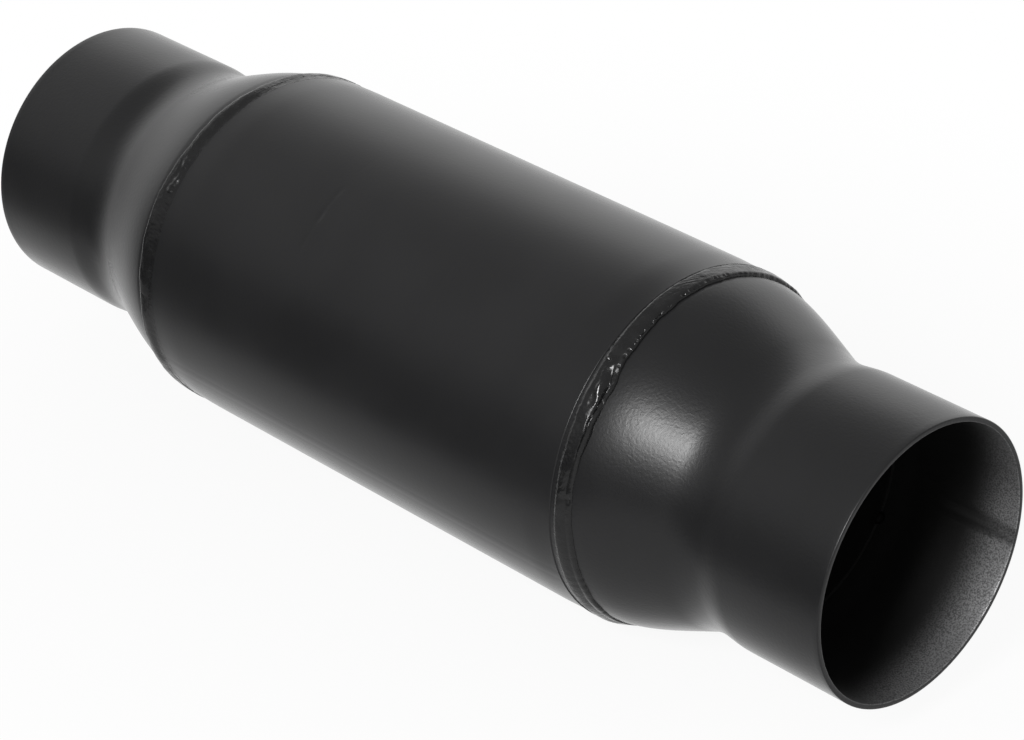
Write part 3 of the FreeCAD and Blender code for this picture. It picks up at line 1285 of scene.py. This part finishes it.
@dataclass
class SlottedCore:
    """The tube that carries the gas, rolled from strip with rows of slots pressed through it."""

    wall: float = 1.2
    slot_length: float = 20.0
    slot_steps: int = 3
    slot_slack: float = 0.01
    row_gap: float = 9.0
    rows: int = 4
    slots_around: int = 6
    lip_depth: float = 0.55
    lip_reach: float = 1.1
    panel_steps: int = 30
    gap_steps: int = 3
    slot_length_steps: int = 10
    end_steps: int = 13
    sharp_from: float = 42.0

    def panel(self, radius: float) -> bpy.types.Mesh:
        """One slot with the wall round it, laid flat.

        Args:
            radius: Outer radius of the core.

        Returns:
            A mesh with the axis along X, the way round along Y and the outer skin at Z = 0.
        """
        step = math.tau * radius / self.slots_around / self.panel_steps
        half_slot, half_row = self.slot_length / 2, (self.slot_length + self.row_gap) / 2
        x_lines = steps(
            (-half_row, -half_slot, self.gap_steps),
            (-half_slot, half_slot, self.slot_length_steps),
            (half_slot, half_row, self.gap_steps),
        )
        # The slot is an odd count of steps wide, so the lines lie half a step off its middle.
        y_lines = (np.arange(self.panel_steps + 1) - self.panel_steps / 2 + 0.5) * step
        half_width = self.slot_steps / 2 * step + self.slot_slack
        work = bmesh.new()
        grid = {}
        for i, x in enumerate(x_lines):
            for j, y in enumerate(y_lines):
                off_slot = math.hypot(max(abs(x) - half_slot, 0.0), max(abs(y) - half_width, 0.0))
                lip = self.lip_depth * math.exp(-((off_slot / self.lip_reach) ** 2))
                for skin in (0, 1):
                    grid[skin, i, j] = work.verts.new((x, y, -skin * self.wall - lip))
        for i in range(len(x_lines) - 1):
            for j in range(len(y_lines) - 1):
                middle_x = (x_lines[i] + x_lines[i + 1]) / 2
                middle_y = (y_lines[j] + y_lines[j + 1]) / 2
                if abs(middle_x) < half_slot and abs(middle_y) < half_width:
                    continue
                ring = [(i, j), (i + 1, j), (i + 1, j + 1), (i, j + 1)]
                work.faces.new([grid[0, a, b] for a, b in ring])
                work.faces.new([grid[1, a, b] for a, b in reversed(ring)])
        rows = [i for i, x in enumerate(x_lines) if abs(x) <= half_slot + TINY]
        columns = [j for j, y in enumerate(y_lines) if abs(y) <= half_width]
        self.wall_slot(work, grid, rows, columns)
        for loose in [v for v in work.verts if not v.link_faces]:
            work.verts.remove(loose)
        return written(work, bpy.data.meshes.new("core"))

    def wall_slot(
        self,
        work: bmesh.types.BMesh,
        grid: dict[tuple[int, int, int], bmesh.types.BMVert],
        rows: list[int],
        columns: list[int],
    ) -> None:
        """Join the two skins round the slot.

        Args:
            work: Mesh that gets the walls.
            grid: Points by skin, row and column.
            rows: Rows of points along the slot.
            columns: Columns of points across it.
        """
        loop = [(rows[0], j) for j in columns]
        loop += [(i, columns[-1]) for i in rows[1:]]
        loop += [(rows[-1], j) for j in reversed(columns[:-1])]
        loop += [(i, columns[0]) for i in reversed(rows[1:-1])]
        for (a, b), (c, d) in zip(loop, loop[1:] + loop[:1]):
            work.faces.new([grid[0, a, b], grid[0, c, d], grid[1, c, d], grid[1, a, b]])

    def rolled(self, core_radius: float, material: bpy.types.Material) -> Recipe:
        """Repeat the panel in staggered rows and roll them into a tube."""
        recipe = Recipe(
            "slotted_roll",
            {
                "Rows": self.rows,
                "Around": self.slots_around,
                "Row Pitch": self.slot_length + self.row_gap,
                "Radius": core_radius,
            },
        )
        rows, around, radius = (recipe.given[name] for name in ("Rows", "Around", "Radius"))
        number = recipe.add(Kind.INDEX)
        row = ((number + 0.5) / around).into(Kind.FLOOR)
        stagger = row.into(Kind.MODULO, 2.0) * 0.5
        x = (row - (rows - 1.0) * 0.5) * recipe.given["Row Pitch"]
        y = (number - row * around + stagger) * (radius * math.tau / around)
        points = recipe.add(Kind.POINTS, rows * around)
        placed = recipe.add(Kind.MOVED, points, Position=recipe.add(Kind.JOIN, x, y, 0.0))
        real = recipe.add(Kind.REAL, recipe.add(Kind.COPIES, placed, recipe.given["Geometry"]))
        spot = recipe.add(Kind.SPLIT, recipe.add(Kind.POSITION))
        turn = spot["Y"] / radius
        reach = (radius + spot["Z"]) * MM
        sideways, upwards = (reach * turn.into(kind) for kind in (Kind.SINE, Kind.COSINE))
        rolled = recipe.add(Kind.JOIN, spot["X"] * MM, sideways, upwards)
        tube = recipe.add(Kind.MOVED, real, Position=rolled)
        recipe.close(recipe.add(Kind.MERGED, tube, JOIN_DISTANCE * MM), material)
        return recipe

    def add_ends(self, mesh: bpy.types.Mesh, half_length: float, radius: float) -> None:
        """Add the plain stretches between the slotted rows and the tube's ends.

        Args:
            mesh: Mesh of the slotted rows.
            half_length: Half the core's length.
            radius: Outer radius of the core.
        """
        slotted = self.rows * (self.slot_length + self.row_gap) / 2
        count = self.slots_around * self.panel_steps
        turns = [(column + 0.5) * math.tau / count for column in range(count)]
        places = np.linspace(slotted, half_length, self.end_steps + 1)
        section = [(x, radius) for x in places] + [(x, radius - self.wall) for x in reversed(places)]
        work = bmesh.new()
        work.from_mesh(mesh)
        for end in End:
            rings = []
            for x, r in section:
                spots = [Vector((x * end.value, r * math.sin(turn), r * math.cos(turn))) for turn in turns]
                rings.append([work.verts.new(spot * MM) for spot in spots])
            for first, second in zip(rings, rings[1:]):
                for k in range(count):
                    after = (k + 1) % count
                    work.faces.new([first[k], first[after], second[after], second[k]])
        bmesh.ops.remove_doubles(work, verts=work.verts, dist=JOIN_DISTANCE * MM)
        written(work, mesh)

    def build(self, material: bpy.types.Material) -> bpy.types.Object:
        """Build and dress the core.

        Args:
            material: Finish of the strip.

        Returns:
            The finished piece.
        """
        half_length, radius = half_size("slotted_core")
        mesh = self.rolled(radius, material).run(self.panel(radius))
        self.add_ends(mesh, half_length, radius)
        mesh.materials.clear()
        piece = show(face_outwards(mesh, self.sharp_from), material)
        return hand_over(piece, "slotted_core")


@dataclass
class CoreTacks:
    """Tack welds that hold one end of the core in the throat."""

    end: End
    radius: float = 1.9
    thickness: float = 1.2
    dome_power: float = 2.4
    dimple_depth: float = 0.25
    dimple_share: float = 0.3
    seat_depth: float = 0.35
    wobble: float = 0.06
    wobble_lobes: int = 3
    wobble_start: float = 1.0
    count: int = 3
    rings: int = 7
    sides: int = 20

    def button(self, core_end: float, core_radius: float) -> bpy.types.Mesh:
        """One domed tack over the core's end, with a dimple where the arc left it.

        Args:
            core_end: Place of the core's end on the axis.
            core_radius: Outer radius of the core.

        Returns:
            The tack above the axis.
        """
        seat = Vector((core_end, 0.0, core_radius - self.seat_depth))
        work = bmesh.new()
        rims = []
        for number in range(1, self.rings + 1):
            share = number / self.rings
            dome = self.thickness * math.sqrt(max(1.0 - share**self.dome_power, 0.0))
            lift = dome - self.dimple_depth * math.exp(-((share / self.dimple_share) ** 2))
            ring = []
            for side in range(self.sides):
                turn = math.tau * side / self.sides
                wobble = self.wobble * math.sin(self.wobble_lobes * turn + self.wobble_start)
                reach = self.radius * share * (1.0 + wobble)
                point = seat + Vector((lift, reach * math.sin(turn), reach * math.cos(turn)))
                ring.append(work.verts.new(point * MM))
            rims.append(ring)
        top = work.verts.new((seat + Vector((self.thickness - self.dimple_depth, 0.0, 0.0))) * MM)
        for side in range(self.sides):
            after = (side + 1) % self.sides
            work.faces.new([top, rims[0][side], rims[0][after]])
            for inner, outer in zip(rims, rims[1:]):
                work.faces.new([inner[side], outer[side], outer[after], inner[after]])
        work.faces.new(rims[-1])
        return written(work, bpy.data.meshes.new(f"{self.end.label}_tacks"))

    def spread(self, material: bpy.types.Material) -> Recipe:
        """Repeat the tack round the axis."""
        recipe = Recipe("tacks_around", {"Count": self.count})
        count = recipe.given["Count"]
        turn = recipe.add(Kind.INDEX) * -math.tau / count
        spun = recipe.add(Kind.JOIN, turn, 0.0, 0.0)
        points = recipe.add(Kind.POINTS, count)
        recipe.close(recipe.add(Kind.COPIES, points, recipe.given["Geometry"], Rotation=spun), material)
        return recipe

    def build(self, material: bpy.types.Material) -> bpy.types.Object:
        """Build and dress the tacks.

        Args:
            material: Finish of the tacks.

        Returns:
            The finished piece.
        """
        mesh = self.spread(material).run(self.button(*half_size("slotted_core")))
        for vertex in mesh.vertices:
            vertex.co.x *= self.end.value
        piece = show(face_outwards(mesh, SOFT_EDGE_ANGLE))
        return hand_over(piece, f"{self.end.label}_core_tacks")


@dataclass
class FibrePacking:
    """Glass mat wound in turns round the core, with a soft uneven face."""

    nap_size: float = 5.0
    nap_height: float = 0.5
    squeeze: float = 0.3
    seed: float = 9.0
    around: int = 240
    bore_steps: int = 149
    outer_steps: int = 23

    def nap(self, material: bpy.types.Material) -> Recipe:
        """Uneven soft face that follows the roll."""
        recipe = Recipe("fibre_nap", {"Size": self.nap_size, "Height": self.nap_height, "Seed": self.seed})
        given = recipe.given
        scale = 1.0 / MM / given["Size"]
        tufts = recipe.add(Kind.SEEDED_NOISE, recipe.add(Kind.POSITION), scale, given["Seed"], Detail=3.0)
        recipe.close_raised(0.0 - tufts * given["Height"], material)
        return recipe

    def build(self, material: bpy.types.Material) -> bpy.types.Object:
        """Build and dress the packing.

        Args:
            material: Finish of the mat.

        Returns:
            The finished piece.
        """
        half_length, radius = half_size("fibre_packing")
        bore = half_size("slotted_core")[1] + self.squeeze
        outer_x = np.linspace(-half_length, half_length, self.outer_steps + 1)
        inner_x = np.linspace(half_length, -half_length, self.bore_steps + 1)
        along = np.concatenate([outer_x, inner_x])
        section = np.concatenate([np.full_like(outer_x, radius), np.full_like(inner_x, bore)])
        angles = np.arange(self.around) * WHOLE_TURN / self.around
        grid = np.broadcast_to(along[:, None], (len(along), self.around))
        rolled = np.broadcast_to(section[:, None], grid.shape)
        mesh = self.nap(material).run(turned_mesh("packing", grid, rolled, angles))
        return hand_over(show(face_outwards(mesh, SOFT_EDGE_ANGLE)), "fibre_packing")


@dataclass
class Studio:
    """A pale floor, a soft key light, a plain surround and the camera."""

    aim: tuple[float, float, float] = (20.0, -4.8, 0.0)
    camera_azimuth: float = 45.53
    camera_elevation: float = 29.82
    camera_distance: float = 1010.0
    lens: float = 129.8
    clip_start: float = 10.0
    key_place: tuple[float, float, float] = (375.0, -865.0, 665.0)
    key_target: tuple[float, float, float] = (110.0, -30.0, 30.0)
    key_size: float = 300.0
    key_watts: float = 9.0
    ambient: float = 0.3
    backdrop_level: float = 0.95
    backdrop_ease: tuple[float, float] = (0.15, 0.65)
    backdrop_top: tuple[float, float] = (0.4, 0.75)
    ceiling_level: float = 0.31
    ceiling_ease: tuple[float, float] = (-0.05, 0.35)
    dark_level: float = 0.04
    table_level: float = 0.44
    table_ease: tuple[float, float] = (0.17, 0.3)
    table_tilt: float = 0.43
    floor_half: float = 3000.0
    paper_colours: tuple[str, str] = ("#f1f1f0", "#f7f7f6")
    paper_grain: float = 1.5
    shadow_reach: tuple[float, float] = (66.0, 330.0)
    shadow_share: float = 0.08

    def camera(self) -> None:
        """Place the camera at the photograph's viewing angle."""
        turn, lift = math.radians(self.camera_azimuth), math.radians(self.camera_elevation)
        away = Vector((math.sin(turn) * math.cos(lift), -math.cos(turn) * math.cos(lift), math.sin(lift)))
        data = bpy.data.cameras.new("camera")
        data.lens = self.lens
        data.clip_start = self.clip_start * MM
        camera = bpy.data.objects.new("camera", data)
        camera.location = (Vector(self.aim) + away * self.camera_distance) * MM
        camera.rotation_euler = away.to_track_quat("Z", "Y").to_euler()
        bpy.context.scene.collection.objects.link(camera)
        bpy.context.scene.camera = camera

    def key_light(self) -> None:
        """Hang the soft box that the near cone reflects."""
        data = bpy.data.lights.new("key", "AREA")
        data.shape = "SQUARE"
        data.size = self.key_size * MM
        data.energy = self.key_watts
        lamp = bpy.data.objects.new("key", data)
        lamp.location = Vector(self.key_place) * MM
        away = Vector(self.key_place) - Vector(self.key_target)
        lamp.rotation_euler = away.to_track_quat("Z", "Y").to_euler()
        bpy.context.scene.collection.objects.link(lamp)

    def surround(self) -> None:
        """Light the part softly: white behind it, dim above and beside the camera, and a pale table below."""
        world = bpy.data.worlds.new("surround")
        world.use_nodes = True
        net = Net(world.node_tree)
        heading = net.add(Kind.HEADING)
        along = net.add(Kind.SPLIT, heading)["X"]
        upward = net.add(Kind.SPLIT, heading)["Z"]
        turn = math.radians(self.camera_azimuth)
        behind = net.add(Kind.DOT, heading, (-math.sin(turn), math.cos(turn), 0.0))
        backdrop = net.add(Kind.RANGE, behind, *self.backdrop_ease)
        white = backdrop * net.add(Kind.RANGE, upward, *self.backdrop_top, self.backdrop_level, 0.0)
        ceiling = net.add(Kind.RANGE, upward, *self.ceiling_ease, self.dark_level, self.ceiling_level)
        tilted = along * self.table_tilt - upward
        table = net.add(Kind.RANGE, tilted, *self.table_ease, 0.0, self.table_level) * (1.0 - backdrop)
        rays = net.add(Kind.RAYS)
        glossy = rays["Is Glossy Ray"]
        seen = rays["Is Camera Ray"].into(Kind.MAXIMUM, rays["Is Transmission Ray"])
        plain = 1.0 - seen.into(Kind.MAXIMUM, glossy)
        strength = seen + glossy * (ceiling + table + white) + plain * self.ambient
        net.add(Kind.WORLD, net.add(Kind.SKY, linear(WHITE), strength))
        bpy.context.scene.world = world

    def floor(self) -> None:
        """Lay the pale floor under the case, white to the eye and darker only in the part's shadow.

        Mirrored rays pass it, and find the table in the surround.
        """
        net = FinishNet("paper_matt_white")
        off_middle = net.add(Kind.LENGTH, net.add(Kind.STRETCHED, net.place, (1.0, 1.0, 0.0)))
        near, far = (reach * MM for reach in self.shadow_reach)
        share = net.add(Kind.RANGE, off_middle, near, far, self.shadow_share, 0.0)
        fibre = net.add(Kind.NOISE, net.place, pattern_scale(self.paper_grain), Detail=2.0)
        tone = net.add(Kind.MIX, fibre, *(linear(code) for code in self.paper_colours))
        paper = net.add(Kind.DIFFUSE, tone)
        rays = net.add(Kind.RAYS)
        seen = rays["Is Camera Ray"].into(Kind.MAXIMUM, rays["Is Transmission Ray"])
        lit = net.add(Kind.BLEND, seen * (1.0 - share), paper, net.add(Kind.GLOW, linear(WHITE), 1.0))
        net.add(Kind.SURFACE, net.add(Kind.BLEND, rays["Is Glossy Ray"], lit, net.add(Kind.CLEAR)))
        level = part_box("case_shell")[0].z
        half = self.floor_half * MM
        corners = [(x * half, y * half, level) for x, y in ((-1, -1), (1, -1), (1, 1), (-1, 1))]
        mesh = bpy.data.meshes.new("floor")
        mesh.from_pydata(corners, [], [(0, 1, 2, 3)])
        show(mesh, net.material)

    def build(self) -> None:
        """Set up the whole studio."""
        bpy.context.scene.view_settings.view_transform = "Standard"
        self.surround()
        self.floor()
        self.key_light()
        self.camera()


def main() -> None:
    """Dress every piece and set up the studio."""
    logging.basicConfig(level=logging.INFO, format="%(name)s: %(message)s")
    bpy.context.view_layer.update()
    coating = SatinCoating().material()
    on_flat_sheet = SatinCoating(name="silicone_enamel_sprayed_on_flat_rolled_sheet", peel_depth=0.018)
    overspray = DryOverspray().material()
    weld = CoatedWeld().material()
    tack_weld = BareWeld().material()
    CaseShell().build(on_flat_sheet.material())
    for end in End:
        EndCap(end).build(coating, overspray)
        WeldBead(end, RUNS[end]).build(weld, coating)
        CoreTacks(end).build(tack_weld)
    SlottedCore().build(MillSteel().material())
    FibrePacking().build(NeedledGlass().material())
    Studio().build()


if __name__ == "__main__":
    main()
